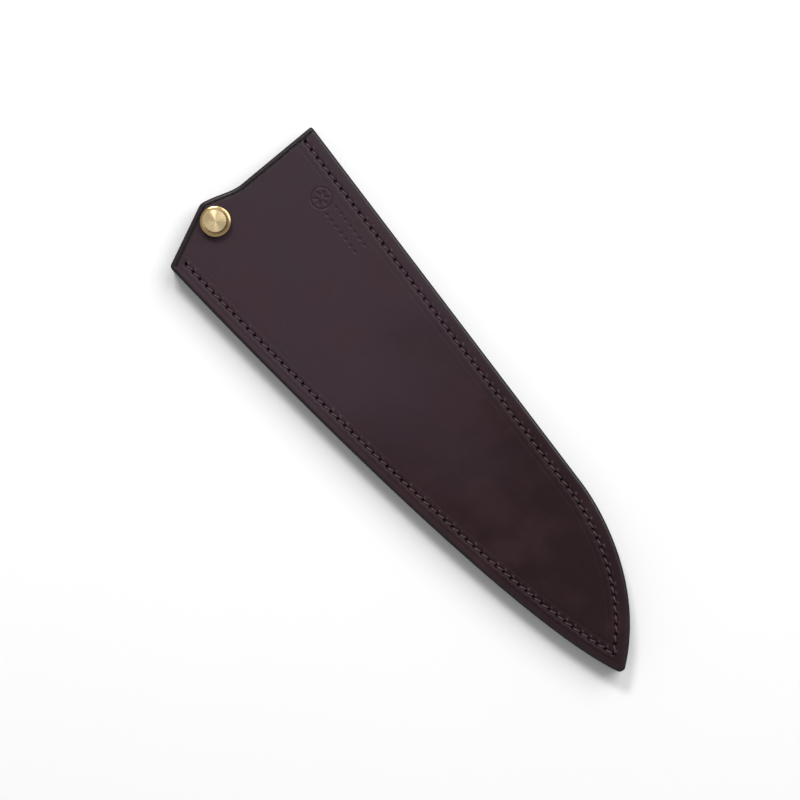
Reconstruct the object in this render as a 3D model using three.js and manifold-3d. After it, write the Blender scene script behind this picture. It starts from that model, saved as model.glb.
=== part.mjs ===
// A stitched leather sheath for a wide kitchen blade, locked by a brass thumbscrew at its mouth.
// Units are millimetres. +X runs from the mouth to the tip, +Y points to the spine edge and +Z out of
// the front leather. The origin is under the middle of the outline, on the back face.

import * as THREE from 'three';
import { mergeVertices } from 'three/addons/utils/BufferGeometryUtils.js';
import Module from 'manifold-3d';

const wasm = await Module();
wasm.setup();

// ---- Driving dimensions -------------------------------------------------------------------------

const leather = 3.0; // each panel
const gap = 4.2; // the space for the blade, and the welts that keep it open
const bevel = 0.5; // eased outer edges of the panels
const backInner = leather;
const frontInner = leather + gap;
const frontOuter = 2 * leather + gap;

// The outline is drawn from the mouth's spine corner: x towards the tip, y to the spine edge.
const bellyStart = 165; // where the straight spine edge begins to drop to the tip
const tipX = 229.4;
const waveTop = [0.42, -34]; // the mouth leaves its straight stretch here
const waveFoot = [-2.8, -48.6]; // and meets the tongue that carries the thumbscrew here

const spineSeamInset = 5.3; // thread row to the edge
const edgeSeamInset = 5.2;
const spineWelt = 8.3; // welt width
const edgeWelt = 7.4;
const seamStart = { spine: 2.4, edge: 11.8 }; // x of the first stitch of each row

const threadSize = 0.8;
const threadInset = 0.05; // the thread lies this far below the faces, in a groove
const grooveWidth = 1.5;
const grooveDepth = 0.95;
const threadHole = 0.9; // radius

const stud = [5.95, -49.6]; // axis of the thumbscrew
const screwRadius = 2.5;
const screwTip = 1.2; // lowest point of the screw when it is home
const screwEase = 0.4;
const boreRadius = 2.62;
const barrelRadius = 4;
const clearance = 0.3; // between the leather and the brass let into it
const flange = { radius: 5, height: 1, ease: 0.3 };
const washer = { radius: 4.9, height: 0.4 };
const head = { radius: 5.7, flatRadius: 4.05, side: 1.4, height: 3, ease: 0.15 };
const clinch = { radius: 6, innerRadius: 4.05, height: 0.9, sunk: 0.15 };
const socketFlange = { radius: 5.7, height: 0.8 };
const socketFloor = 0.9;
const facets = 40;

// ---- Materials ----------------------------------------------------------------------------------

const material = (color, roughness, metalness) =>
  new THREE.MeshStandardMaterial({ color, roughness, metalness });
const frontLeather = material(0x3e3238, 0.5, 0);
const backLeather = material(0x3a2f34, 0.55, 0);
const weltLeather = material(0x30262b, 0.6, 0);
const waxedThread = material(0x4d3f46, 0.6, 0);
const brass = material(0xcdb678, 0.3, 1);
const blackFibre = material(0x1c1a1a, 0.7, 0);

// ---- Outline ------------------------------------------------------------------------------------

const point = (x, y) => new THREE.Vector2(x, y);
const curve = (a, b, c, d, steps) =>
  new THREE.CubicBezierCurve(point(...a), point(...b), point(...c), point(...d)).getPoints(steps);
const corner = (a, b, c, steps = 4) =>
  new THREE.QuadraticBezierCurve(point(...a), point(...b), point(...c)).getPoints(steps);

// Both sides run from the mouth to the tip.
const spineSide = [
  point(0.4, 0),
  ...curve([bellyStart, 0], [bellyStart + 1, 0], [205.2, 0.3], [tipX, -29.0], 16),
];
const edgeStart = [10.6, -73.3];
const edgeSide = curve(edgeStart, [65, -67.3], [190.7, -51.1], [tipX - 0.9, -31.75], 20);
const tipRound = corner([tipX - 0.9, -31.75], [tipX + 0.35, -30.9], [tipX, -29.0]);
const edgeCorner = corner([8.3, -72.35], [8.84, -73.45], edgeStart);
const mouth = [
  ...corner([0.4, 0], [-0.98, 0.05], [-0.98, -1]),
  ...curve(waveTop, [0.45, -38.6], [-1.75, -42.6], waveFoot, 10),
  ...corner(waveFoot, [-3.0, -50.0], [-2.7, -50.87]),
  ...edgeCorner,
];

// Counter-clockwise: along the edge side, round the tip, back along the spine side and the mouth.
const outline = withoutRepeats([...edgeSide, ...tipRound, ...[...spineSide].reverse(), ...mouth]);

function withoutRepeats(run) {
  return run.filter((p, i) => p.distanceTo(run[(i + 1) % run.length]) > 1e-6);
}

// Moves a run of points to its left by the distance, keeping their number.
function offset(run, distance, closed = false) {
  const last = run.length - 1;
  return run.map((p, i) => {
    const before = closed ? run.at(i - 1) : run[Math.max(i - 1, 0)];
    const after = closed ? run[(i + 1) % run.length] : run[Math.min(i + 1, last)];
    const into = p.distanceTo(before) ? p.clone().sub(before).normalize() : null;
    const outOf = p.distanceTo(after) ? after.clone().sub(p).normalize() : null;
    const ahead = (into ?? outOf).clone().add(outOf ?? into).normalize();
    const left = point(-ahead.y, ahead.x);
    const squareness = Math.abs(left.dot(point(-(outOf ?? into).y, (outOf ?? into).x)));
    return p.clone().addScaledVector(left, distance / Math.max(squareness, 0.4));
  });
}

// The part of a run beyond x, starting exactly at x; a run that starts later is run on straight.
function beyond(run, x) {
  const i = Math.max(1, run.findIndex((p) => p.x > x));
  const [a, b] = [run[i - 1], run[i]];
  return [a.clone().lerp(b, (x - a.x) / (b.x - a.x)), ...run.slice(i)];
}

// Cuts two runs off where they first cross, so that both end in the same point.
function meeting(first, second) {
  for (let i = 1; i < first.length; i += 1) {
    for (let j = 1; j < second.length; j += 1) {
      const p = first[i].clone().sub(first[i - 1]);
      const q = second[j].clone().sub(second[j - 1]);
      const between = second[j - 1].clone().sub(first[i - 1]);
      const s = between.cross(q) / p.cross(q);
      const t = between.cross(p) / p.cross(q);
      if (s >= 0 && s <= 1 && t >= 0 && t <= 1) {
        const at = first[i - 1].clone().addScaledVector(p, s);
        return [[...first.slice(0, i), at], [...second.slice(0, j), at]];
      }
    }
  }
  throw new Error('the runs do not cross');
}

// ---- Solids -------------------------------------------------------------------------------------

// A closed solid through outlines of equal length, from the lowest z to the highest.
function stack(...levels) {
  const count = levels[0].run.length;
  const positions = levels.flatMap(({ run, z }) => run.flatMap((p) => [p.x, p.y, z]));
  const top = (levels.length - 1) * count;
  const indices = [];
  for (const [a, b, c] of THREE.ShapeUtils.triangulateShape(levels[1].run, [])) {
    indices.push(a, c, b, top + a, top + b, top + c);
  }
  for (let ring = 0; ring < top; ring += count) {
    for (let i = 0; i < count; i += 1) {
      const next = (i + 1) % count;
      indices.push(ring + i, ring + next, ring + count + next);
      indices.push(ring + i, ring + count + next, ring + count + i);
    }
  }
  const geometry = new THREE.BufferGeometry();
  geometry.setAttribute('position', new THREE.Float32BufferAttribute(positions, 3));
  geometry.setIndex(indices);
  return geometry;
}

const slab = (run, low, high) => stack({ run, z: low }, { run, z: high });

// A strip of even width along an open run.
function strip(run, width, low, high) {
  const sides = [offset(run, -width / 2), offset(run, width / 2).reverse()];
  return slab(sides.flat(), low, high);
}

// A round solid about +Z at (x, y). The profile lists [radius, z] upwards on its outer side.
function turned(profile, [x, y]) {
  const points = profile.map(([r, z]) => point(r, z));
  return new THREE.LatheGeometry(points, facets).rotateX(Math.PI / 2).translate(x, y, 0);
}

const rod = (radius, low, high, at) =>
  turned([[0, low], [radius, low], [radius, high], [0, high]], at);

function welded(geometry) {
  const bare = geometry.clone();
  bare.deleteAttribute('normal');
  bare.deleteAttribute('uv');
  const merged = mergeVertices(bare, 1e-5);
  const corners = Array.from(merged.index.array);
  const kept = [];
  for (let i = 0; i < corners.length; i += 3) {
    const [a, b, c] = corners.slice(i, i + 3);
    if (a !== b && b !== c && c !== a) kept.push(a, b, c);
  }
  merged.setIndex(kept);
  return merged;
}

function manifold(geometry) {
  const merged = welded(geometry);
  return new wasm.Manifold(
    new wasm.Mesh({
      numProp: 3,
      vertProperties: new Float32Array(merged.attributes.position.array),
      triVerts: new Uint32Array(merged.index.array),
    }),
  );
}

function geometryOf(body) {
  const mesh = body.getMesh();
  const geometry = new THREE.BufferGeometry();
  geometry.setAttribute('position', new THREE.BufferAttribute(mesh.vertProperties, 3));
  geometry.setIndex(new THREE.BufferAttribute(mesh.triVerts, 1));
  return geometry;
}

const cut = (geometry, ...tools) =>
  geometryOf(tools.reduce((left, tool) => left.subtract(manifold(tool)), manifold(geometry)));
const join = (geometry, ...others) =>
  geometryOf(others.reduce((sum, other) => sum.add(manifold(other)), manifold(geometry)));

// ---- Seams --------------------------------------------------------------------------------------

const [spineSeam, edgeSeam] = meeting(
  beyond(offset(spineSide, -spineSeamInset), seamStart.spine),
  beyond(offset(edgeSide, edgeSeamInset), seamStart.edge),
);
const seamTip = spineSeam.at(-1);
const seam = [...spineSeam, ...edgeSeam.reverse().slice(1)];
const seamEnds = [seam[0], seamTip, seam.at(-1)];

const threadHoles = (low, high) => seamEnds.map((p) => rod(threadHole, low, high, [p.x, p.y]));

// ---- Leather ------------------------------------------------------------------------------------

const eased = offset(outline, bevel, true);
const beyondFaces = 1; // cutting tools run this far past a face
const barrelHole = barrelRadius + clearance;
const ringHole = clinch.radius + clearance;
const ringRecess = clinch.height + clinch.sunk + clearance;

function frontPanel() {
  const blank = stack(
    { run: outline, z: frontInner },
    { run: outline, z: frontOuter - bevel },
    { run: eased, z: frontOuter },
  );
  return cut(
    blank,
    strip(seam, grooveWidth, frontOuter - grooveDepth, frontOuter + beyondFaces),
    ...threadHoles(frontInner - beyondFaces, frontOuter + beyondFaces),
    rod(barrelHole, frontInner - beyondFaces, frontOuter + beyondFaces, stud),
    rod(ringHole, frontInner - beyondFaces, frontInner + ringRecess, stud),
  );
}

function backPanel() {
  const flangeHole = socketFlange.radius + clearance;
  const blank = stack(
    { run: eased, z: 0 },
    { run: outline, z: bevel },
    { run: outline, z: backInner },
  );
  return cut(
    blank,
    strip(seam, grooveWidth, -beyondFaces, grooveDepth),
    ...threadHoles(-beyondFaces, backInner + beyondFaces),
    rod(barrelHole, -beyondFaces, backInner + beyondFaces, stud),
    rod(ringHole, backInner - ringRecess, backInner + beyondFaces, stud),
    rod(flangeHole, -beyondFaces, socketFlange.height + clearance, stud),
  );
}

// The welts meet in a butt joint that runs from the fork of their inner edges to the tip.
const halfButtGap = 0.15;
const weltStart = { spine: 0.9, edge: 6.2 }; // x of their inner edges at the mouth
const [spineInner, edgeInner] = meeting(
  beyond(offset(spineSide, -spineWelt), weltStart.spine),
  beyond(offset(edgeSide, edgeWelt), weltStart.edge),
);

function welt(inner, outer, halfGap) {
  const fork = inner.at(-1).clone().add(point(0, halfGap));
  const tip = tipRound[2].clone().add(point(0, halfGap));
  const around = [...inner.slice(0, -1), fork, tip, ...[...outer].reverse()];
  const run = halfGap > 0 ? around : around.reverse();
  return cut(
    slab(withoutRepeats(run), backInner, frontInner),
    ...threadHoles(backInner - beyondFaces, frontInner + beyondFaces),
  );
}

// ---- Thread -------------------------------------------------------------------------------------

function saddleThread() {
  const half = threadSize / 2;
  const low = threadInset;
  const high = frontOuter - threadInset;
  return join(
    strip(seam, threadSize, low, low + threadSize),
    strip(seam, threadSize, high - threadSize, high),
    ...seamEnds.map((p) => rod(half, low + half, high - half, [p.x, p.y])),
  );
}

// ---- Brass --------------------------------------------------------------------------------------

const washerLow = frontOuter + flange.height;
const headLow = washerLow + washer.height;
const headHigh = headLow + head.height;

function frontBush() {
  const low = frontInner + clinch.sunk;
  return turned(
    [
      [boreRadius, low],
      [barrelRadius, low],
      [barrelRadius, frontOuter],
      [flange.radius, frontOuter],
      [flange.radius, washerLow - flange.ease],
      [flange.radius - flange.ease, washerLow],
      [boreRadius, washerLow],
      [boreRadius, low],
    ],
    stud,
  );
}

function backSocket() {
  const high = backInner - clinch.sunk;
  return turned(
    [
      [0, 0],
      [socketFlange.radius, 0],
      [socketFlange.radius, socketFlange.height],
      [barrelRadius, socketFlange.height],
      [barrelRadius, high],
      [boreRadius, high],
      [boreRadius, socketFloor],
      [0, socketFloor],
    ],
    stud,
  );
}

const ring = (inner, outer, low, high) =>
  turned([[inner, low], [outer, low], [outer, high], [inner, high], [inner, low]], stud);

function clinchRing(low) {
  return ring(clinch.innerRadius, clinch.radius, low, low + clinch.height);
}

// The screw is the plain outer cylinder of its thread.
function retainingPin() {
  return turned(
    [
      [0, screwTip],
      [screwRadius - screwEase, screwTip],
      [screwRadius, screwTip + screwEase],
      [screwRadius, headLow],
      [head.radius - head.ease, headLow],
      [head.radius, headLow + head.ease],
      [head.radius, headLow + head.side],
      [head.flatRadius, headHigh],
      [0, headHigh],
    ],
    stud,
  );
}

// ---- Assembly -----------------------------------------------------------------------------------

const sheath = new THREE.Group();
const middle = new THREE.Box2().setFromPoints(outline).getCenter(point(0, 0));
sheath.position.set(-middle.x, -middle.y, 0);

function place(name, geometry, look) {
  const mesh = new THREE.Mesh(geometry, look);
  mesh.name = name;
  sheath.add(mesh);
}

place('front_panel', frontPanel(), frontLeather);
place('back_panel', backPanel(), backLeather);
place('spine_welt', welt(spineInner, spineSide, halfButtGap), weltLeather);
place('edge_welt', welt(edgeInner, [...edgeCorner, ...edgeSide], -halfButtGap), weltLeather);
place('saddle_thread', saddleThread(), waxedThread);
place('front_bush', welded(frontBush()), brass);
place('front_clinch_ring', welded(clinchRing(frontInner + clinch.sunk)), brass);
place('back_socket', welded(backSocket()), brass);
place('back_clinch_ring', welded(clinchRing(backInner - clinch.sunk - clinch.height)), brass);
place('pin_washer', welded(ring(boreRadius, washer.radius, washerLow, headLow)), blackFibre);
place('retaining_pin', welded(retainingPin()), brass);

export default sheath;
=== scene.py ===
"""Looks for a stitched leather blade sheath with a brass thumbscrew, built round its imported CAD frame.

Shapes are worked out in millimetres in the frame's own axes: +X to the tip, +Y to the spine edge and
+Z out of the front leather. They become metres when a mesh is made.
"""

import math

import bpy
import numpy as np
from mathutils import Matrix, Vector, geometry


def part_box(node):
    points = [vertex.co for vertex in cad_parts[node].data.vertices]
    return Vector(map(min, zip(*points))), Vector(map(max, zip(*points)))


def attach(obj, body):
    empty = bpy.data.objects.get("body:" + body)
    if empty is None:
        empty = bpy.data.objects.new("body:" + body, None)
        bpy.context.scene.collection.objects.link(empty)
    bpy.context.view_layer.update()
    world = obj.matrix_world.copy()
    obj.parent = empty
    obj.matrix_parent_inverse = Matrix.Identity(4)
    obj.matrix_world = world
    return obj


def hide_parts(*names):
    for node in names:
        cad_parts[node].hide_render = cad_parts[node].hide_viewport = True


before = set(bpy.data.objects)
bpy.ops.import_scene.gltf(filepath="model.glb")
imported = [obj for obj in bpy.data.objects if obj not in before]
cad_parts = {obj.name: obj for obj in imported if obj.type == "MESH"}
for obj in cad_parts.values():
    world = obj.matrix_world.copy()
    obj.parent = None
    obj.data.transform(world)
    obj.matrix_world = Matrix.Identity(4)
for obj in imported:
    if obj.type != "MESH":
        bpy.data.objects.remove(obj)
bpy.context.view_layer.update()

MM = 0.001
rng = np.random.default_rng(7)


def node_box(node):
    """Lowest and highest corner of a CAD node, in millimetres."""
    low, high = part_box(node)
    return np.array(low) / MM, np.array(high) / MM


# ---- Places taken from the frame ------------------------------------------------------------------

FRONT_INNER, FRONT_OUTER = node_box("front_panel")[0][2], node_box("front_panel")[1][2]
BACK_OUTER, BACK_INNER = node_box("back_panel")[0][2], node_box("back_panel")[1][2]
PANEL_LOW, PANEL_HIGH = node_box("front_panel")
PIN_LOW, PIN_HIGH = node_box("retaining_pin")
BUSH_LOW, BUSH_HIGH = node_box("front_bush")
WASHER_LOW, WASHER_HIGH = node_box("pin_washer")
SOCKET_LOW, SOCKET_HIGH = node_box("back_socket")
FRONT_RING = node_box("front_clinch_ring")
BACK_RING = node_box("back_clinch_ring")
STUD = (PIN_LOW[:2] + PIN_HIGH[:2]) / 2

# ---- Sizes, in millimetres ------------------------------------------------------------------------

INSET = 0.05  # the visual leather stays this far inside the CAD outline
EDGE_ROUND = 1.15  # radius of the burnished outer edges
SPINE_SEAM = 5.3  # rows of holes to the outer edge
EDGE_SEAM = 5.2
SPINE_CREASE = 8.3  # creased lines inside the rows
EDGE_CREASE = 7.7
MOUTH_CREASE = 1.9
OUTER_CREASE = 2.7  # a lighter line outside the edge row
SPINE_WELT = 8.3
EDGE_WELT = 7.4
STITCH = 3.65  # pitch of the holes
THREAD = 0.68  # thickness
SLIT_TURN = math.radians(-42)  # the pricked slits to the row
BORE = 2.62
BARREL_HOLE = 4.3
RING_RECESS = 6.3
RECESS_DEPTH = 1.35
CIRCLE = 72  # corners of a small circle

# ---- Plane curves ---------------------------------------------------------------------------------


def bezier(*points, step=0.5):
    """Points of a Bezier curve of any degree, about step apart."""
    points = np.array(points, float)
    degree = len(points) - 1
    count = max(int(np.linalg.norm(np.diff(points, axis=0), axis=1).sum() / step), 6)
    t = np.linspace(0, 1, count + 1)[:, None]
    terms = [math.comb(degree, k) * (1 - t) ** (degree - k) * t**k * p for k, p in enumerate(points)]
    return sum(terms)


def directions(run, closed=False):
    """Unit directions of travel at the points of a run."""
    if closed:
        ahead = np.roll(run, -1, 0) - np.roll(run, 1, 0)
    else:
        ahead = np.gradient(run, axis=0)
    return ahead / np.linalg.norm(ahead, axis=1)[:, None]


def offset(run, by, closed=False):
    """The run moved to its left."""
    ahead = directions(run, closed)
    return run + by * np.column_stack([-ahead[:, 1], ahead[:, 0]])


def lengths(run):
    """How far along the run each of its points lies."""
    return np.concatenate([[0], np.cumsum(np.linalg.norm(np.diff(run, axis=0), axis=1))])


def spaced(run, step):
    """The run again, with points evenly spaced about step apart."""
    along = lengths(run)
    at = np.linspace(0, along[-1], max(int(round(along[-1] / step)), 1) + 1)
    return np.column_stack([np.interp(at, along, run[:, k]) for k in (0, 1)])


def meeting(first, second):
    """Two runs cut off where they come closest, both ending in the same point."""
    apart = np.linalg.norm(first[:, None] - second[None], axis=2)
    i, j = np.unravel_index(apart.argmin(), apart.shape)
    middle = (first[i] + second[j]) / 2
    return np.vstack([first[:i], middle]), np.vstack([second[:j], middle])


def thinned(run, tolerance=0.002):
    """The run without the points that lie on the line between their neighbours."""
    chord = run[-1] - run[0]
    away = run - run[0]
    span = math.hypot(*chord)
    if span > tolerance:
        off = np.abs(away[:, 0] * chord[1] - away[:, 1] * chord[0]) / span
    else:
        off = np.linalg.norm(away, axis=1)
    k = off.argmax()
    if off[k] < tolerance:
        return run[[0, -1]]
    return np.vstack([thinned(run[: k + 1]), thinned(run[k:])[1:]])


def distance(points, run, closed=False):
    """How far each point is from a run."""
    run = thinned(np.vstack([run, run[:1]]) if closed else run)
    x, y = points[:, 0], points[:, 1]
    least = np.full(len(points), np.inf)
    for (ax, ay), (sx, sy) in zip(run[:-1], np.diff(run, axis=0)):
        dx, dy = x - ax, y - ay
        t = np.clip((dx * sx + dy * sy) / (sx * sx + sy * sy), 0, 1)
        least = np.minimum(least, (dx - t * sx) ** 2 + (dy - t * sy) ** 2)
    return np.sqrt(least)


def inside(points, loop):
    """Which points lie inside a closed loop."""
    x, y = points[:, :1], points[:, 1:]
    ax, ay = loop[:, 0], loop[:, 1]
    bx, by = np.roll(ax, -1), np.roll(ay, -1)
    crosses = (ay > y) != (by > y)
    with np.errstate(divide="ignore", invalid="ignore"):
        at = ax + (y - ay) * (bx - ax) / (by - ay)
    return (crosses & (x < at)).sum(1) % 2 == 1


# ---- Outline and rows -----------------------------------------------------------------------------

# Drawn from the mouth's spine corner, as the CAD part is; both sides run from the mouth to the tip.
SPINE_CORNER = (0.4, 0)
SPINE_CORNER_END = (-0.98, -1)
EDGE_CORNER_START = (8.3, -72.35)
TIP_X = 229.4
BELLY = 165.0
EDGE_START = (10.6, -73.3)
EDGE_END = (TIP_X - 0.9, -31.75)
BELLY_END = (TIP_X, -29.0)
WAVE_TOP = (0.42, -34)
WAVE_FOOT = (-2.8, -48.6)
TONGUE = (-2.7, -50.87)
SPINE_SIDE = np.vstack(
    [
        spaced(np.array([SPINE_CORNER, (BELLY, 0)], float), 0.5),
        bezier((BELLY, 0), (BELLY + 1, 0), (205.2, 0.3), BELLY_END)[1:],
    ]
)
EDGE_SIDE = bezier(EDGE_START, (65, -67.3), (190.7, -51.1), EDGE_END)
TIP_ROUND = bezier(EDGE_END, (TIP_X + 0.35, -30.9), BELLY_END, step=0.35)
EDGE_CORNER = bezier(EDGE_CORNER_START, (8.84, -73.45), EDGE_START, step=0.35)
MOUTH = np.vstack(
    [
        bezier(SPINE_CORNER, (-0.98, 0.05), SPINE_CORNER_END, step=0.3),
        spaced(np.array([SPINE_CORNER_END, WAVE_TOP]), 0.5)[1:],
        bezier(WAVE_TOP, (0.45, -38.6), (-1.75, -42.6), WAVE_FOOT)[1:],
        bezier(WAVE_FOOT, (-3.0, -50.0), TONGUE, step=0.35)[1:],
        spaced(np.array([TONGUE, EDGE_CORNER_START]), 0.5)[1:],
        EDGE_CORNER[1:],
    ]
)
drawn = np.vstack([EDGE_SIDE[:-1], TIP_ROUND[:-1], SPINE_SIDE[::-1][:-1], MOUTH[:-1]])
SHIFT = (PANEL_LOW[:2] + PANEL_HIGH[:2]) / 2 - (drawn.min(0) + drawn.max(0)) / 2
SPINE_SIDE = SPINE_SIDE + SHIFT
EDGE_SIDE = EDGE_SIDE + SHIFT
MOUTH = MOUTH + SHIFT
EDGE_CORNER = EDGE_CORNER + SHIFT
OUTLINE = drawn + SHIFT

# Where the lines beside the spine and the edge start, along X from the drawing's origin.
SEAM_STARTS = (2.4, 11.8)
CREASE_STARTS = (2.4, 9.5)
WELT_STARTS = (0.9, 6.2)


def inner_runs(from_spine, from_edge, spine_start, edge_start):
    """The lines inside the two sides, cut where they meet near the tip."""
    spine = offset(SPINE_SIDE, -from_spine)
    edge = offset(EDGE_SIDE, from_edge)
    lead = edge[0] - directions(edge)[0] * np.arange(12, 0, -0.5)[:, None]
    edge = np.vstack([lead, edge])
    spine = spine[spine[:, 0] >= spine_start + SHIFT[0]]
    edge = edge[edge[:, 0] >= edge_start + SHIFT[0]]
    return meeting(spine, edge)


spine_row, edge_row = inner_runs(SPINE_SEAM, EDGE_SEAM, *SEAM_STARTS)
SPINE_HOLES = spaced(spine_row, STITCH)
EDGE_HOLES = spaced(edge_row, STITCH)
HOLES = np.vstack([SPINE_HOLES, EDGE_HOLES[::-1][1:]])
SEAM = np.vstack([spine_row, edge_row[::-1][1:]])
spine_crease, edge_crease = inner_runs(SPINE_CREASE, EDGE_CREASE, *CREASE_STARTS)

# ---- The face of the leather ----------------------------------------------------------------------

HOLE_TURNS = directions(HOLES)
SLIT_HALF = (0.78, 0.44)  # half length and half width of a pricked slit
SLIT_DEPTH = 1.2
DRAWN_WIDTH = 1.1  # the leather that the thread draws in round a slit
DRAWN_DEPTH = 0.12
PUCKER_PLACE = (-0.1, 0.95)  # middle of a pucker, from its hole
PUCKER_SCATTER = 0.12
PUCKER_WIDTH = 0.5
PUCKER_HEIGHT = 0.05
GROOVE_WIDTH = 0.75
CREASE_WIDTH = 0.27


def dip(away, width):
    """A smooth bell: 1 at its middle, and fading out over its width."""
    return np.exp(-((away / width) ** 2))


def local(points, at, along):
    """Coordinates of points about a place, along and across a direction."""
    away = points - at
    across = np.stack([-along[..., 1], along[..., 0]], -1)
    return (away * along).sum(-1), (away * across).sum(-1)


def turned_by(vectors, angle):
    """The vectors turned anticlockwise."""
    c, s = math.cos(angle), math.sin(angle)
    return vectors @ np.array([[c, s], [-s, c]])


SLITS = turned_by(HOLE_TURNS, SLIT_TURN)


def slits(points):
    """Depth of the pricked slits, and of the leather drawn in round them."""
    gap = np.linalg.norm(points[:, None] - HOLES[None], axis=2)
    k = gap.argmin(1)
    along, across = local(points, HOLES[k], SLITS[k])
    slit = np.exp(-(((along / SLIT_HALF[0]) ** 2 + (across / SLIT_HALF[1]) ** 2) ** 1.5))
    drawn_in = dip(gap.min(1), DRAWN_WIDTH)
    return SLIT_DEPTH * slit + DRAWN_DEPTH * drawn_in


PUCKERS = HOLES + PUCKER_PLACE + rng.normal(0, PUCKER_SCATTER, HOLES.shape)
PUCKER_SHARES = rng.uniform(0.15, 1.0, len(HOLES))


def puckers(points):
    """Leather that the thread pushes up on one side of each slit, unevenly."""
    gap = np.linalg.norm(points[:, None] - PUCKERS[None], axis=2)
    return PUCKER_SHARES[gap.argmin(1)] * dip(gap.min(1), PUCKER_WIDTH)


# A plain border stamp: a rosette and two rows of lozenges.
STAMP = np.array([22.5, -13.2]) + SHIFT
LOZENGE_ROWS = ((28.6, -11.0), (28.6, -15.3))
LOZENGES = 7
LOZENGE_PITCH = 2.9
LOZENGE_HALF = (1.05, 0.8)
PETALS = 6
PETAL_OUT = 1.95  # middle of a petal from the rosette's middle
PETAL_HALF = (1.35, 0.62)
ROSETTE = 4.0  # radius of the ring round the petals
ROSETTE_LINE = 0.24
STAMP_DEPTH = 0.34
STAMP_GRID = ((-4.7, -4.7), (27.0, 4.7))  # low and high corner of its finer points, from STAMP
STAMP_WINDOW = ((-5.0, -5.0), (27.2, 5.0))  # where those take the place of the others


def stamp(points):
    """Depth of the pressed border stamp."""
    depth = np.zeros(len(points))
    for k in range(PETALS):
        turn = np.array([math.cos(k * math.pi / 3), math.sin(k * math.pi / 3)])
        a, b = local(points, STAMP + PETAL_OUT * turn, turn)
        petal = 1.3 - (a / PETAL_HALF[0]) ** 2 * 1.3 - (b / PETAL_HALF[1]) ** 2
        depth = np.maximum(depth, np.clip(petal, 0, 1))
    middle = np.linalg.norm(points - STAMP, axis=1)
    ring = np.abs(middle - ROSETTE)
    depth = np.maximum(depth, 0.8 * dip(ring, ROSETTE_LINE))
    for row in LOZENGE_ROWS:
        for k in range(LOZENGES):
            away = np.abs(points - (np.array(row) + SHIFT + (k * LOZENGE_PITCH, 0)))
            lozenge = 1.5 * (1 - away[:, 0] / LOZENGE_HALF[0] - away[:, 1] / LOZENGE_HALF[1])
            depth = np.maximum(depth, np.clip(lozenge, 0, 1))
    return STAMP_DEPTH * depth


# These two stop short of the corners.
mouth_crease = offset(MOUTH, MOUTH_CREASE)[8:-8]
outer_crease = offset(EDGE_SIDE, OUTER_CREASE)[8:-2]
CREASES = (spine_crease, edge_crease, mouth_crease, outer_crease)
CREASE_DEPTH = (0.05, 0.05, 0.3, 0.06)


def relief(points, groove):
    """How far the face lies below its plane at each point, before its edges round off."""
    depth = groove * dip(distance(points, SEAM), GROOVE_WIDTH) + slits(points)
    depth = depth - PUCKER_HEIGHT * puckers(points)
    for run, deep in zip(CREASES, CREASE_DEPTH):
        depth += deep * dip(distance(points, run), CREASE_WIDTH)
    return depth


def edge_drop(to_edge):
    """How far the rounded edge has dropped at a distance inside the outline."""
    left = np.clip(1 - to_edge / EDGE_ROUND, 0, 1)
    return EDGE_ROUND * (1 - np.sqrt(1 - left**2))


# ---- Meshes ---------------------------------------------------------------------------------------


WITHIN_HOLE = 0.995  # triangles nearer than this share of a hole's radius lie over the hole


class Shell:
    """Gathers the rings and patches of one closed mesh."""

    def __init__(self):
        self.points, self.faces, self.looks, self.count = [], [], [], 0

    def add(self, points):
        self.points.append(np.asarray(points, float))
        self.count += len(points)
        return np.arange(self.count - len(points), self.count)

    def ring(self, loop, z):
        return self.add(np.column_stack([loop, np.full(len(loop), float(z))]))

    def face(self, corners, look=0):
        self.faces.append([int(c) for c in corners])
        self.looks.append(look)

    def bridge(self, lower, upper, look=0, closed=True):
        """Quads from one ring up to the next; faces look to the right of the rings' travel."""
        last = len(lower) if closed else len(lower) - 1
        for i in range(last):
            j = (i + 1) % len(lower)
            self.face((lower[i], lower[j], upper[j], upper[i]), look)

    def web(self, outer, inner, free, heights, up, look=0):
        """A triangulated patch inside the outer ring and round the inner one, if there is one."""
        every = np.vstack(self.points)
        fixed = list(outer) + list(inner)
        flat = np.vstack([every[fixed, :2], free]) if len(free) else every[fixed, :2]
        edges = [(i, (i + 1) % len(outer)) for i in range(len(outer))]
        first = len(outer)
        edges += [(first + i, first + (i + 1) % len(inner)) for i in range(len(inner))]
        out = geometry.delaunay_2d_cdt([Vector(p) for p in flat], edges, [], 1, 1e-5)
        index = dict()
        added = self.add(np.column_stack([free, heights])) if len(free) else []
        known = fixed + list(added)
        for new, olds in enumerate(out[3]):
            index[new] = known[olds[0]]
        middle = every[list(inner), :2].mean(0) if len(inner) else None
        reach = np.linalg.norm(every[inner[0], :2] - middle) if len(inner) else 0
        spots = np.array([p[:] for p in out[0]])
        for triangle in out[2]:
            centre = spots[triangle].mean(0)
            if len(inner) and np.linalg.norm(centre - middle) < reach * WITHIN_HOLE:
                continue
            corners = [index[v] for v in triangle]
            self.face(corners if up else corners[::-1], look)


def add_object(name, shell, body, materials, replaced=(), sharp=35):
    """Makes the mesh object, in metres, with its materials, ties it to its body and hides the CAD nodes
    that it replaces.
    """
    mesh = bpy.data.meshes.new(name)
    points = np.vstack(shell.points) * MM
    mesh.from_pydata(points.tolist(), [], shell.faces)
    for material in materials:
        mesh.materials.append(material)
    mesh.polygons.foreach_set("material_index", shell.looks)
    mesh.shade_smooth()
    mesh.set_sharp_from_angle(angle=math.radians(sharp))
    mesh.update()
    obj = bpy.data.objects.new(name, mesh)
    bpy.context.scene.collection.objects.link(obj)
    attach(obj, body)
    if replaced:
        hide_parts(*replaced)
    return obj


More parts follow.
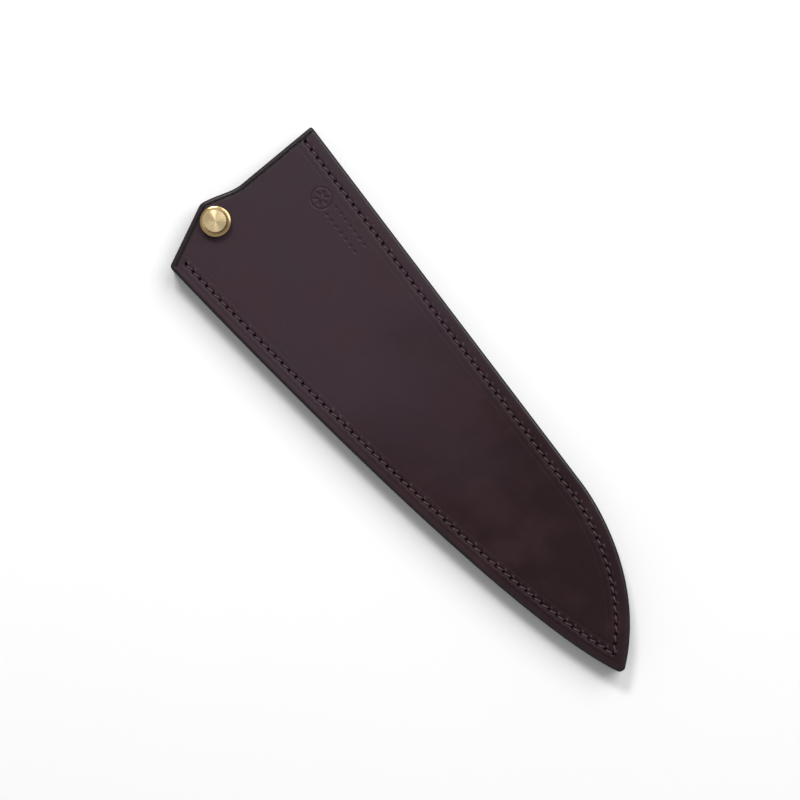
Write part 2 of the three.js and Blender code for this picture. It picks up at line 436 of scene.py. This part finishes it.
def circle(radius, count=CIRCLE):
    """Points round the stud's axis."""
    turn = np.linspace(0, 2 * math.pi, count, endpoint=False)
    return STUD + radius * np.column_stack([np.cos(turn), np.sin(turn)])


# ---- Materials ------------------------------------------------------------------------------------


class Look:
    """A node material built up one node at a time."""

    def __init__(self, name, roughness, metallic=0.0, **sockets):
        self.material = bpy.data.materials.new(name)
        self.material.use_nodes = True
        self.tree = self.material.node_tree
        self.shader = self.tree.nodes["Principled BSDF"]
        self.shader.inputs["Roughness"].default_value = roughness
        self.shader.inputs["Metallic"].default_value = metallic
        for socket, value in sockets.items():
            self.shader.inputs[socket.replace("_", " ")].default_value = value
        self.place = self.node("ShaderNodeTexCoord").outputs["Object"]

    def node(self, kind, inputs=None, **settings):
        made = self.tree.nodes.new(kind)
        for key, value in settings.items():
            setattr(made, key, value)
        for socket, value in (inputs or {}).items():
            self.put(made.inputs[socket], value)
        return made

    def put(self, socket, value):
        if isinstance(value, bpy.types.NodeSocket):
            self.tree.links.new(value, socket)
        else:
            socket.default_value = value

    def noise(self, size, detail=3.0, roughness=0.55, place=None):
        """Smooth noise with features about size millimetres across."""
        inputs = {"Vector": place or self.place, "Scale": 1 / (size * MM), "Detail": detail}
        inputs["Roughness"] = roughness
        return self.node("ShaderNodeTexNoise", inputs).outputs["Fac"]

    def spread(self, value, low, high, to_low=0.0, to_high=1.0):
        inputs = {"Value": value, "From Min": low, "From Max": high}
        inputs |= {"To Min": to_low, "To Max": to_high}
        return self.node("ShaderNodeMapRange", inputs).outputs["Result"]

    def mix(self, share, a, b, blend="MIX"):
        made = self.node("ShaderNodeMix", data_type="RGBA", blend_type=blend)
        self.put(made.inputs["Factor"], share)
        for socket, value in ((made.inputs[6], a), (made.inputs[7], b)):
            self.put(socket, (*value, 1.0) if isinstance(value, tuple) else value)
        return made.outputs[2]

    def math(self, operation, a, b=0.0):
        made = self.node("ShaderNodeMath", {0: a, 1: b}, operation=operation)
        return made.outputs[0]

    def vector(self, operation, a, b):
        made = self.node("ShaderNodeVectorMath", {0: a, 1: b}, operation=operation)
        return made.outputs[0]

    def attribute(self, name):
        return self.node("ShaderNodeAttribute", attribute_name=name).outputs["Fac"]

    def bump(self, height, depth, below=None):
        """A bump whose full height is depth millimetres, on top of another one."""
        inputs = {"Height": height, "Distance": depth * MM, "Strength": 1.0}
        if below is not None:
            inputs["Normal"] = below
        return self.node("ShaderNodeBump", inputs).outputs["Normal"]

    def finish(self, color=None, roughness=None, normal=None):
        for socket, value in (("Base Color", color), ("Roughness", roughness), ("Normal", normal)):
            if value is not None:
                self.put(self.shader.inputs[socket], value)
        return self.material


MOUTH_END = PANEL_LOW[0] + 70  # painted sheen fades from here, and the dye deepens
TIP_END = PANEL_LOW[0] + 155  # to here
# Painted highlight and sheen, with rub wear: lighter on the seams' puckers and along the edges.
WEAR_AND_HIGHLIGHT_COLOR = (0.11, 0.08, 0.09)
# Painted shade, near black, for the mouth's crease and the stitch slits.
PAINTED_SHADE_COLOR = (0.004, 0.003, 0.003)


def smooth_leather(name, mouth_dye_and_sheen, tip_dye, cloud):
    """Waxed, smooth-grained leather: a tone that deepens to the tip, dye with a painted sheen lighter
    toward the mouth, clouds, fine pores and scratches.
    """
    look = Look(name, 0.4, Specular_IOR_Level=0.14)
    along = look.node("ShaderNodeSeparateXYZ", {"Vector": look.place}).outputs["X"]
    drift = look.spread(look.noise(38, 2, 0.5), 0.3, 0.7, -28 * MM, 28 * MM)
    # Painted sheen: the tone is lighter and greyer toward the mouth and fades into the deeper dye toward
    # the tip.
    depth = look.spread(look.math("ADD", along, drift), MOUTH_END * MM, TIP_END * MM)
    color = look.mix(depth, mouth_dye_and_sheen, tip_dye)
    clouds = look.spread(look.noise(17, 3, 0.5), 0.42, 0.68)
    color = look.mix(look.math("MULTIPLY", clouds, 0.45), color, cloud)
    mottle = look.spread(look.noise(1.3, 5, 0.65), 0.3, 0.75)
    color = look.mix(look.math("MULTIPLY", mottle, 0.18), color, tip_dye)
    # Painted highlight on the puckers and painted sheen along the edges, where the leather is also
    # rubbed and glossier.
    wear_and_highlight_share = look.math("MULTIPLY", look.attribute("wear_and_highlight"), 0.85)
    color = look.mix(wear_and_highlight_share, color, WEAR_AND_HIGHLIGHT_COLOR)
    # Painted shade in the mouth's crease and the stitch slits.
    color = look.mix(look.attribute("painted_shade"), color, PAINTED_SHADE_COLOR)
    waxed = look.math("MULTIPLY_ADD", wear_and_highlight_share, -0.16)
    look.put(waxed.node.inputs[2], look.spread(mottle, 0, 1, 0.36, 0.44))
    inputs = {"Vector": look.place, "Scale": 1 / (0.42 * MM)}
    pores = look.node("ShaderNodeTexVoronoi", inputs, feature="F1").outputs["Distance"]
    stretched = look.node("ShaderNodeMapping", {"Vector": look.place, "Scale": (0.12, 1.0, 1.0)})
    stretched.inputs["Rotation"].default_value = (0, 0, 0.35)
    scratches = look.spread(look.noise(0.5, 2, 0.5, stretched.outputs[0]), 0.68, 0.76)
    grain = look.bump(look.noise(0.16, 4, 0.7), 0.008)
    grain = look.bump(pores, 0.01, grain)
    grain = look.bump(look.noise(3.2, 2), 0.04, grain)
    grain = look.bump(scratches, -0.01, grain)
    return look.finish(color, waxed, grain)


def burnished_edge(name, roughness, gloss, dark, light):
    """Rubbed and waxed edge leather, darker than the face, with faint fibres along it."""
    look = Look(name, roughness, Specular_IOR_Level=gloss)
    along = look.node("ShaderNodeMapping", {"Vector": look.place, "Scale": (0.2, 0.2, 1.6)})
    fibres = look.noise(0.5, 4, 0.6, along.outputs[0])
    color = look.mix(look.spread(fibres, 0.3, 0.7), dark, light)
    rubbed = look.spread(look.noise(4, 3), 0.3, 0.7, roughness - 0.07, roughness + 0.07)
    return look.finish(color, rubbed, look.bump(fibres, 0.02))


def flesh_side(name):
    """The unfinished inner face of the leather: matt, felted short fibres."""
    look = Look(name, 0.85, Sheen_Weight=0.25, Sheen_Roughness=0.5)
    fibres = look.noise(0.35, 6, 0.75)
    patches = look.spread(look.noise(7, 4), 0.3, 0.7)
    color = look.mix(patches, (0.070, 0.042, 0.034), (0.105, 0.066, 0.052))
    color = look.mix(look.spread(fibres, 0.35, 0.7), color, (0.045, 0.028, 0.024))
    return look.finish(color, None, look.bump(fibres, 0.12))


def waxed_thread():
    look = Look("waxed_thread", 0.42, Specular_IOR_Level=0.3)
    fibres = look.noise(0.12, 4, 0.6)
    color = look.mix(fibres, (0.030, 0.016, 0.021), (0.085, 0.050, 0.062))
    return look.finish(color, None, look.bump(fibres, 0.03))


def lathe_turned_brass(name, roughness, anisotropy, pale, deep):
    """Brass as it leaves the lathe: fine rings round the axis, which draw the light into rays."""
    look = Look(name, roughness, 1.0, Anisotropic=anisotropy, Anisotropic_Rotation=0.25)
    centre = (*(STUD * MM), 0.0)
    flat = look.vector("MULTIPLY", look.vector("SUBTRACT", look.place, centre), (1.0, 1.0, 0.0))
    radius = look.node("ShaderNodeVectorMath", {0: flat}, operation="LENGTH").outputs["Value"]
    inputs = {"W": look.math("MULTIPLY", radius, 1 / (0.11 * MM)), "Scale": 1.0, "Detail": 2.0}
    cuts = look.node("ShaderNodeTexNoise", inputs, noise_dimensions="1D").outputs["Fac"]
    tarnish = look.spread(look.noise(2.6, 3), 0.35, 0.8)
    color = look.mix(look.math("MULTIPLY", tarnish, 0.35), pale, deep)
    color = look.mix(look.spread(cuts, 0.4, 0.75, 0.0, 0.3), color, deep)
    # Painted shade: the brass deepens in a ring just outside the flat top, from 3.9 to 4.5 mm round the
    # axis.
    color = look.mix(look.spread(radius, 3.9 * MM, 4.5 * MM, 0.0, 0.75), color, deep)
    tangent = look.node("ShaderNodeTangent", direction_type="RADIAL", axis="Z").outputs[0]
    look.put(look.shader.inputs["Tangent"], tangent)
    smears = look.spread(cuts, 0.3, 0.7, roughness * 0.9, roughness * 1.15)
    return look.finish(color, smears, look.bump(cuts, 0.003))


def black_fibre():
    look = Look("black_fibre", 0.75)
    fleck = look.noise(0.2, 4, 0.7)
    color = look.mix(fleck, (0.010, 0.009, 0.009), (0.030, 0.028, 0.028))
    return look.finish(color, None, look.bump(fleck, 0.02))


def plain_paper():
    look = Look("white_floor", 0.9)
    tone = look.mix(look.noise(60, 2), (0.86, 0.86, 0.865), (0.87, 0.87, 0.87))
    return look.finish(tone)


CLOUD_COLOR = (0.038, 0.018, 0.021)
DEEP_BRASS = (0.50, 0.34, 0.14)
# The mouth colours are dye with a painted sheen over it.
FRONT_LOOK = smooth_leather(
    "front_leather",
    mouth_dye_and_sheen=(0.035, 0.021, 0.029),
    tip_dye=(0.0155, 0.0058, 0.008),
    cloud=CLOUD_COLOR,
)
BACK_LOOK = smooth_leather(
    "back_leather",
    mouth_dye_and_sheen=(0.034, 0.020, 0.027),
    tip_dye=(0.019, 0.008, 0.010),
    cloud=CLOUD_COLOR,
)
RIM_LOOK = burnished_edge("burnished_rim", 0.28, 0.25, (0.012, 0.0085, 0.0095), (0.022, 0.015, 0.017))
EDGE_LOOK = burnished_edge("waxed_edge", 0.55, 0.12, (0.005, 0.004, 0.004), (0.014, 0.010, 0.011))
WELT_EDGE_LOOK = burnished_edge("waxed_welt", 0.55, 0.15, (0.007, 0.005, 0.005), (0.018, 0.012, 0.013))
FLESH_LOOK = flesh_side("flesh_side")
THREAD_LOOK = waxed_thread()
HEAD_LOOK = lathe_turned_brass("turned_brass", 0.27, 0.8, (0.74, 0.60, 0.36), DEEP_BRASS)
BRASS_LOOK = lathe_turned_brass("satin_brass", 0.32, 0.5, (0.70, 0.56, 0.32), DEEP_BRASS)
WASHER_LOOK = black_fibre()

# ---- Leather panels -------------------------------------------------------------------------------

FACE, EDGE, FLESH, RIM = 0, 1, 2, 3  # material slots of a panel
RIM_BAND = (0.3, 1.25)  # the burnished rim lies this far inside the outline
BOUNDARY = offset(spaced(np.vstack([OUTLINE, OUTLINE[:1]]), 0.5)[:-1], INSET, closed=True)
THICKNESS = FRONT_OUTER - FRONT_INNER
WALL_MIDDLE = THICKNESS * 0.4
HOLE_MARGIN = 0.25  # free points keep this far from a hole's rim
FOLDED = 0.93  # a row closer to its run than this share of its offset is folded over
STAMP_STEP = 0.22
JOINT_ROUND = ((0.26, 0.0), (0.08, 0.05), (0.0, 0.18))  # height and inset where two layers meet


def rows_beside(run, sides, step):
    """Rows of points beside a run, leaving out those that a bend folds over."""
    run = spaced(run, step)
    found = []
    for side in sides:
        row = offset(run, side)
        found.append(row[distance(row, run) >= abs(side) * FOLDED - 1e-6])
    return np.vstack(found)


def lengthened(run, by):
    """The run carried on straight at both ends."""
    ahead = directions(run)
    return np.vstack([run[0] - ahead[0] * by, run, run[-1] + ahead[-1] * by])


def grid(low, high, step):
    """Points in staggered rows between two corners."""
    xs, ys = np.arange(low[0], high[0], step), np.arange(low[1], high[1], step)
    x, y = np.meshgrid(xs, ys)
    x = x + (np.arange(len(ys)) % 2)[:, None] * step / 2
    return np.column_stack([x.ravel(), y.ravel()])


EDGE_ROWS = np.array([0.06, 0.18, 0.36, 0.6, 0.9, 1.2, 1.6, 2.2, 3.0])
SEAM_ROWS = np.array([0.16, 0.33, 0.5, 0.68, 0.9, 1.2, 1.7])
SEAM_OVERRUN = 1.1  # the seam's rows go on this far past its ends
SEAM_STEP = 0.3
CREASE_STEP = 0.8
GRID_STEP = 2.2
# How far each kind of point keeps from the next, so that no triangle is a sliver.
EDGE_TO_SEAM = 1.9
SEAM_TO_EDGE = 0.9
CREASE_TO_SEAM = 1.85
GRID_TO_SEAM = 2.2
GRID_TO_EDGE = 3.3
GRID_TO_CREASE = 0.9
CREASE_ROWS = (0, 0.13, -0.13, 0.3, -0.3, 0.55, -0.55)


def face_points():
    """Where a face needs points: round its edge, along its rows and creases, and thinly between."""
    edge = np.vstack([offset(BOUNDARY, inset, closed=True) for inset in EDGE_ROWS])
    insets = np.repeat(EDGE_ROWS, len(BOUNDARY))
    edge = edge[distance(edge, BOUNDARY, closed=True) > insets * FOLDED]
    edge = edge[distance(edge, SEAM) > EDGE_TO_SEAM]
    run = lengthened(SEAM, SEAM_OVERRUN)
    seam = rows_beside(run, [0, *SEAM_ROWS, *-SEAM_ROWS], SEAM_STEP)
    seam = seam[distance(seam, BOUNDARY, closed=True) > SEAM_TO_EDGE]
    creases = np.vstack([rows_beside(run, CREASE_ROWS, CREASE_STEP) for run in CREASES])
    creases = creases[distance(creases, SEAM) > CREASE_TO_SEAM]
    between = grid(BOUNDARY.min(0), BOUNDARY.max(0), GRID_STEP)
    between = between[inside(between, BOUNDARY)]
    between = between[distance(between, SEAM) > GRID_TO_SEAM]
    between = between[distance(between, BOUNDARY, closed=True) > GRID_TO_EDGE]
    for crease in CREASES:
        between = between[distance(between, crease) > GRID_TO_CREASE]
    points = np.vstack([edge, seam, creases, between])
    return points[inside(points, BOUNDARY)]


FACE_POINTS = face_points()
STAMP_POINTS = grid(STAMP + STAMP_GRID[0], STAMP + STAMP_GRID[1], STAMP_STEP)


def painted_shade(points):
    """Painted shade: near black in the mouth's crease and in the slits of the holes."""
    crease = dip(distance(points, mouth_crease), 0.42)
    return np.clip(1.3 * crease + 0.9 * slits(points), 0, 1)


def wear_and_highlight(points):
    """Painted highlight on the puckers of its seams and, faintly, painted sheen along its edges, where
    hands and thread also rub the leather.
    """
    to_edge = distance(points, BOUNDARY, closed=True)
    return np.clip(0.15 * dip(to_edge, 1.5) + puckers(points), 0, 1)


def panel(name, look, hole_chain, groove, flip, stamped):
    """One leather panel: a worked face, a rounded edge, a flat inner face and the stud's hole."""
    shell = Shell()
    rim = shell.ring(BOUNDARY, THICKNESS - EDGE_ROUND)
    above = rim
    for z, inset in ((WALL_MIDDLE, 0.0), *JOINT_ROUND):
        below = shell.ring(offset(BOUNDARY, inset, closed=True), z)
        shell.bridge(below, above, EDGE)
        above = below
    hole_radius = hole_chain[0][0]
    hole_rim = shell.ring(circle(hole_radius), THICKNESS)
    hole = hole_rim
    for radius, z in hole_chain[1:]:
        further = shell.ring(circle(radius), z)
        shell.bridge(further, hole, FLESH)
        hole = further
    shell.web(above, hole, np.empty((0, 2)), [], up=False, look=FLESH)
    free = FACE_POINTS
    if stamped:
        window = ((free > STAMP + STAMP_WINDOW[0]) & (free < STAMP + STAMP_WINDOW[1])).all(1)
        free = np.vstack([free[~window], STAMP_POINTS])
    free = free[np.linalg.norm(free - STUD, axis=1) > hole_radius + HOLE_MARGIN]
    heights = THICKNESS - edge_drop(distance(free, BOUNDARY, closed=True)) - relief(free, groove)
    if stamped:
        heights -= stamp(free)
    first = len(shell.faces)
    shell.web(rim, hole_rim, free, heights, up=True, look=FACE)
    points = np.vstack(shell.points)
    middles = points[np.array(shell.faces[first:])][..., :2].mean(1)
    to_edge = distance(middles, BOUNDARY, closed=True)
    band = np.select([to_edge < RIM_BAND[0], to_edge < RIM_BAND[1]], [EDGE, RIM], FACE)
    shell.looks[first:] = band.tolist()
    points[:, 2] = BACK_INNER - points[:, 2] if flip else FRONT_INNER + points[:, 2]
    shell.points = [points]
    if flip:
        shell.faces = [face[::-1] for face in shell.faces]
    materials = (look, EDGE_LOOK, FLESH_LOOK, RIM_LOOK)
    obj = add_object(name + "_leather", shell, "sheath", materials, (name,))
    for attribute, measure in (("wear_and_highlight", wear_and_highlight), ("painted_shade", painted_shade)):
        layer = obj.data.attributes.new(attribute, "FLOAT", "POINT")
        layer.data.foreach_set("value", measure(points[:, :2]))


SOCKET_HOLE = 5.85
SOCKET_SINK = THICKNESS - 0.95
RECESS = ((RING_RECESS, RECESS_DEPTH), (RING_RECESS, 0.0))
FRONT_HOLE = ((BARREL_HOLE, THICKNESS), (BARREL_HOLE, RECESS_DEPTH), *RECESS)
BACK_HOLE = (
    (SOCKET_HOLE, THICKNESS),
    (SOCKET_HOLE, SOCKET_SINK),
    (BARREL_HOLE, SOCKET_SINK),
    (BARREL_HOLE, RECESS_DEPTH),
    *RECESS,
)
FRONT_GROOVE = 0.24
BACK_GROOVE = 0.6

panel("front_panel", FRONT_LOOK, FRONT_HOLE, FRONT_GROOVE, flip=False, stamped=True)
panel("back_panel", BACK_LOOK, BACK_HOLE, BACK_GROOVE, flip=True, stamped=False)

# ---- Welts ----------------------------------------------------------------------------------------

HALF_BUTT = 0.1  # half the gap between the two welts at the tip
WELT_STEP = 0.6
WELT_ROUND = ((0.01, 0.15), (0.06, 0.04), (0.2, 0.0))  # height and inset of the rubbed corners


def welt(name, inner, outer, half_gap):
    """A strip of leather between the panels, from the mouth to the butt joint at the tip."""
    shift = np.array([0, half_gap])
    middle = TIP_ROUND[len(TIP_ROUND) // 2] + SHIFT
    around = np.vstack([inner[:-1], inner[-1] + shift, middle + shift, outer[::-1]])
    if half_gap < 0:
        around = around[::-1]
    around = spaced(np.vstack([around, around[:1]]), WELT_STEP)[:-1]
    shell = Shell()
    low = [(BACK_INNER + z, inset) for z, inset in WELT_ROUND]
    high = [(FRONT_INNER - z, inset) for z, inset in reversed(WELT_ROUND)]
    rings = [shell.ring(offset(around, inset, closed=True), z) for z, inset in low + high]
    for below, above in zip(rings, rings[1:]):
        shell.bridge(below, above)
    shell.web(rings[0], [], np.empty((0, 2)), [], up=False)
    shell.web(rings[-1], [], np.empty((0, 2)), [], up=True)
    add_object(name + "_leather", shell, "sheath", (WELT_EDGE_LOOK,), (name,))


spine_inner, edge_inner = inner_runs(SPINE_WELT, EDGE_WELT, *WELT_STARTS)
welt("spine_welt", spine_inner, offset(SPINE_SIDE, -INSET), HALF_BUTT)
welt("edge_welt", edge_inner, offset(np.vstack([EDGE_CORNER[:-1], EDGE_SIDE]), INSET), -HALF_BUTT)

# ---- Stitching ------------------------------------------------------------------------------------

PLIES = 3
PLY_DEPTH = 0.13  # share of the thread's radius
TWIST = 2.3  # turns of the plies in a stitch
STITCH_SIDES = 12
STITCH_RINGS = 17
FRONT_CROWN = -0.06  # middle of the thread to the face, at the top of a stitch
BACK_CROWN = -0.44
SWAY = 0.07  # how unevenly its ends lie
CROWN_SWAY = 0.04
THREAD_SHARES = (0.96, 1.03)  # how thick a stitch is, as shares of the thread
BACK_ASIDE = 0.2  # a back stitch starts and ends this far beside its holes
DIVE = 1.3  # how deep they go
DIVE_POWER = 3.4  # the higher, the nearer its hole a stitch goes down


def stitch(shell, start, end, face, up, crown):
    """One twisted stitch that comes out of a hole and goes into the next."""
    start, end = (start, end) + rng.normal(0, SWAY, (2, 2))
    crown = crown + rng.uniform(-CROWN_SWAY, CROWN_SWAY)
    t = np.linspace(0, 1, STITCH_RINGS)
    height = crown - (DIVE + crown) * np.abs(2 * t - 1) ** DIVE_POWER
    path = np.column_stack([start + t[:, None] * (end - start), face + up * height])
    ahead = np.gradient(path, axis=0)
    ahead /= np.linalg.norm(ahead, axis=1)[:, None]
    side = np.array([*(start - end)[::-1] * (1, -1), 0])
    side /= np.linalg.norm(side)
    lift = np.cross(side, ahead)
    turn = np.linspace(0, 2 * math.pi, STITCH_SIDES, endpoint=False)
    ply = 1 + PLY_DEPTH * np.cos(PLIES * (turn - 2 * math.pi * TWIST / PLIES * t[:, None]))
    radius = THREAD / 2 * ply * rng.uniform(*THREAD_SHARES)
    around = np.cos(turn)[:, None] * side + np.sin(turn)[:, None] * lift[:, None]
    rings = [shell.add(ring) for ring in path[:, None] + radius[..., None] * around]
    for below, above in zip(rings, rings[1:]):
        shell.bridge(below, above)
    shell.face(rings[0][::-1])
    shell.face(rings[-1])


def stitching():
    """Every stitch of both seams, on the front and on the back."""
    shell = Shell()
    aside = BACK_ASIDE * np.column_stack([-HOLE_TURNS[:, 1], HOLE_TURNS[:, 0]])
    reach = 0.5 * SLITS
    for k in range(len(HOLES) - 1):
        front = (HOLES[k] + reach[k], HOLES[k + 1] - reach[k + 1])
        back = (HOLES[k] - aside[k], HOLES[k + 1] + aside[k + 1])
        stitch(shell, *front, FRONT_OUTER, 1, FRONT_CROWN)
        stitch(shell, *back, BACK_OUTER, -1, BACK_CROWN)
    add_object("stitching", shell, "sheath", (THREAD_LOOK,), ("saddle_thread",), sharp=60)


stitching()

# ---- Brass and washer -----------------------------------------------------------------------------

LATHE_STEPS = 96
SCREW_STEP = 0.08  # rings of the screw thread
LEAD = 0.8
SCREW_ROOT, SCREW_CREST = 2.05, 2.46
SCREW_END = 9.4
SCREW_FADE = 0.6  # length over which the thread fades in and out
BARREL = 4.0  # outer radius of the bush's and the socket's barrel
RING_BORE = 4.05
SOCKET_FLANGE = 0.8
SOCKET_FLOOR = 0.9


def softened(profile):
    """Rounds the corners of a closed profile of (radius, z, ease)."""
    out = []
    for i, (radius, z, ease) in enumerate(profile):
        here = np.array([radius, z])
        if ease == 0:
            out.append(here)
            continue
        back = np.array(profile[i - 1][:2]) - here
        on = np.array(profile[(i + 1) % len(profile)][:2]) - here
        first = here + back * min(ease / np.linalg.norm(back), 0.45)
        last = here + on * min(ease / np.linalg.norm(on), 0.45)
        out += [(1 - t) ** 2 * first + 2 * t * (1 - t) * here + t * t * last for t in (0, 0.3, 0.7, 1)]
    return out


def join_rings(shell, rings, closed):
    """Skins the rings in order; a ring of one point is the tip of a fan."""
    pairs = list(zip(rings, rings[1:])) + ([(rings[-1], rings[0])] if closed else [])
    for below, above in pairs:
        if len(below) == 1:
            for i in range(len(above)):
                shell.face((below[0], above[(i + 1) % len(above)], above[i]))
        elif len(above) == 1:
            for i in range(len(below)):
                shell.face((below[i], below[(i + 1) % len(below)], above[0]))
        else:
            shell.bridge(below, above)


def turned_ring(shell, radius, z):
    """A ring round the stud's axis, or one point where the radius is zero."""
    return shell.add([(*STUD, z)]) if radius == 0 else shell.ring(circle(radius, LATHE_STEPS), z)


def turned(name, profile, body, look, node):
    """A turned piece; its profile runs up its outer side, and back down its bore if it has one."""
    shell = Shell()
    hollow = profile[0][0] > 0
    join_rings(shell, [turned_ring(shell, r, z) for r, z in softened(profile)], hollow)
    add_object(name, shell, body, (look,), (node,), sharp=25)


def screw_rings(shell, low, high):
    """Rings of a right-hand thread that fades out at both ends."""
    turn = np.linspace(0, 2 * math.pi, LATHE_STEPS, endpoint=False)
    rings = []
    for z in np.arange(low, high, SCREW_STEP):
        phase = (z / LEAD - turn / (2 * math.pi)) % 1
        ridge = np.clip(1.25 - np.abs(2 * phase - 1) * 1.6, 0, 1)
        fade = min((z - low) / SCREW_FADE, (high - z) / SCREW_FADE, 1)
        radius = SCREW_ROOT + (SCREW_CREST - SCREW_ROOT) * ridge * fade
        flat = STUD + radius[:, None] * np.column_stack([np.cos(turn), np.sin(turn)])
        rings.append(shell.ring(flat, z))
    return rings


def thumbscrew():
    """Screw and head in one piece: flat top, wide hollowed rim and a rounded lip."""
    shell = Shell()
    tip, head = PIN_LOW[2], WASHER_HIGH[2] + 0.02
    top = PIN_HIGH[2]
    lip = (PIN_HIGH[0] - PIN_LOW[0]) / 2
    flat = 4.05
    foot = [(0, tip), (1.55, tip), (1.7, tip + 0.05), (SCREW_ROOT, tip + 0.4)]
    neck = [(SCREW_ROOT, SCREW_END + 0.3), (2.3, SCREW_END + 0.6), (2.45, head - 0.1)]
    under = [(2.5, head), (lip - 0.35, head), (lip - 0.12, head + 0.05), (lip - 0.03, head + 0.15)]
    side = [(lip, head + 0.3), (lip, top - 1.75), (lip - 0.04, top - 1.62), (lip - 0.14, top - 1.54)]
    drop = top - 1.5
    rim = [(lip - 0.3, drop)]
    for t in np.linspace(0.12, 1, 9):
        rim.append((lip - 0.3 - (lip - 0.3 - flat - 0.1) * t, drop + (top - 0.22 - drop) * t**1.7))
    crown = [(flat + 0.05, top - 0.08), (flat - 0.03, top - 0.015), (flat - 0.12, top), (0, top)]
    rings = [turned_ring(shell, r, z) for r, z in foot]
    rings += screw_rings(shell, tip + 0.45, SCREW_END)
    rings += [turned_ring(shell, r, z) for r, z in neck + under + side + rim + crown]
    join_rings(shell, rings, closed=False)
    looks = (HEAD_LOOK,)
    node = ("retaining_pin",)
    add_object("thumbscrew_brass", shell, "thumbscrew", looks, node, sharp=25)


def ring_profile(bore, outer, low, high, ease):
    return [(bore, low, ease), (outer, low, ease), (outer, high, ease), (bore, high, ease)]


def bush_profile():
    low, high = BUSH_LOW[2], BUSH_HIGH[2]
    flange = (BUSH_HIGH[0] - BUSH_LOW[0]) / 2
    return [
        (BORE, low, 0.2),
        (BARREL, low, 0.15),
        (BARREL, FRONT_OUTER, 0.05),
        (flange, FRONT_OUTER, 0.12),
        (flange, high, 0.3),
        (BORE, high, 0.15),
    ]


def socket_profile():
    low, high = SOCKET_LOW[2], SOCKET_HIGH[2]
    flange = (SOCKET_HIGH[0] - SOCKET_LOW[0]) / 2
    return [
        (0, low + 0.12, 0),
        (0.45, low + 0.03, 0.1),
        (0.7, low, 0.1),
        (flange, low, 0.3),
        (flange, low + SOCKET_FLANGE, 0.1),
        (BARREL, low + SOCKET_FLANGE, 0.05),
        (BARREL, high, 0.15),
        (BORE, high, 0.25),
        (BORE, low + SOCKET_FLOOR, 0.1),
        (0, low + SOCKET_FLOOR, 0),
    ]


thumbscrew()
turned("bush_brass", bush_profile(), "sheath", BRASS_LOOK, "front_bush")
turned("socket_brass", socket_profile(), "sheath", BRASS_LOOK, "back_socket")
for name, (low, high), node in (
    ("front_ring_brass", FRONT_RING, "front_clinch_ring"),
    ("back_ring_brass", BACK_RING, "back_clinch_ring"),
):
    outer = (high[0] - low[0]) / 2
    profile = ring_profile(RING_BORE, outer, low[2], high[2], 0.2)
    turned(name, profile, "sheath", BRASS_LOOK, node)
washer_radius = (WASHER_HIGH[0] - WASHER_LOW[0]) / 2
turned(
    "washer_fibre",
    ring_profile(BORE, washer_radius, WASHER_LOW[2], WASHER_HIGH[2], 0.1),
    "washer",
    WASHER_LOOK,
    "pin_washer",
)


# ---- Stage ----------------------------------------------------------------------------------------

LOOK_AT = np.array([99.63, -35.19]) + SHIFT
RIGHT = Vector((0.6045, 0.7966, 0))
UP = Vector((-0.7966, 0.6045, 0))
DISTANCE = 1000
VIEW_WIDTH = 296
FLOOR_HALF = 3.0  # metres
FLOOR_Z = -0.00002  # metres
WORLD_STRENGTH = 0.4


def stage():
    mesh = bpy.data.meshes.new("floor")
    corners = [(-1, -1), (1, -1), (1, 1), (-1, 1)]
    points = [(x * FLOOR_HALF, y * FLOOR_HALF, FLOOR_Z) for x, y in corners]
    mesh.from_pydata(points, [], [(0, 1, 2, 3)])
    mesh.materials.append(plain_paper())
    floor = bpy.data.objects.new("floor", mesh)
    bpy.context.scene.collection.objects.link(floor)


def camera():
    data = bpy.data.cameras.new("camera")
    data.sensor_width = 36
    data.lens = data.sensor_width * DISTANCE / VIEW_WIDTH
    data.clip_end = 20
    obj = bpy.data.objects.new("camera", data)
    turn = Matrix((RIGHT, UP, RIGHT.cross(UP))).transposed()
    place = Vector((*LOOK_AT, FRONT_OUTER + DISTANCE)) * MM
    obj.matrix_world = Matrix.Translation(place) @ turn.to_4x4()
    bpy.context.scene.collection.objects.link(obj)
    bpy.context.scene.camera = obj


def soft_light(name, across, up, height, width, length, power):
    """A white area light placed along the camera's own directions, in metres, facing the sheath."""
    data = bpy.data.lights.new(name, "AREA")
    data.shape = "RECTANGLE"
    data.size, data.size_y = width, length
    data.energy = power
    obj = bpy.data.objects.new(name, data)
    centre = Vector((*LOOK_AT, 0)) * MM
    obj.location = centre + RIGHT * across + UP * up + Vector((0, 0, height))
    obj.rotation_euler = (obj.location - centre).to_track_quat("Z", "Y").to_euler()
    bpy.context.scene.collection.objects.link(obj)


def light():
    world = bpy.data.worlds.new("studio")
    world.use_nodes = True
    background = world.node_tree.nodes["Background"]
    background.inputs["Color"].default_value = (1, 1, 1, 1)
    background.inputs["Strength"].default_value = WORLD_STRENGTH
    bpy.context.scene.world = world
    bpy.context.scene.view_settings.view_transform = "Standard"
    soft_light("key", across=1.36, up=1.36, height=2.16, width=2.1, length=2.1, power=53.5)
    soft_light("top", across=-0.3, up=1.0, height=1.2, width=0.42, length=0.32, power=12.5)
    soft_light(
        "overhead", across=-0.11, up=0.106, height=0.6, width=0.3, length=0.3, power=0.085
    )


stage()
camera()
light()
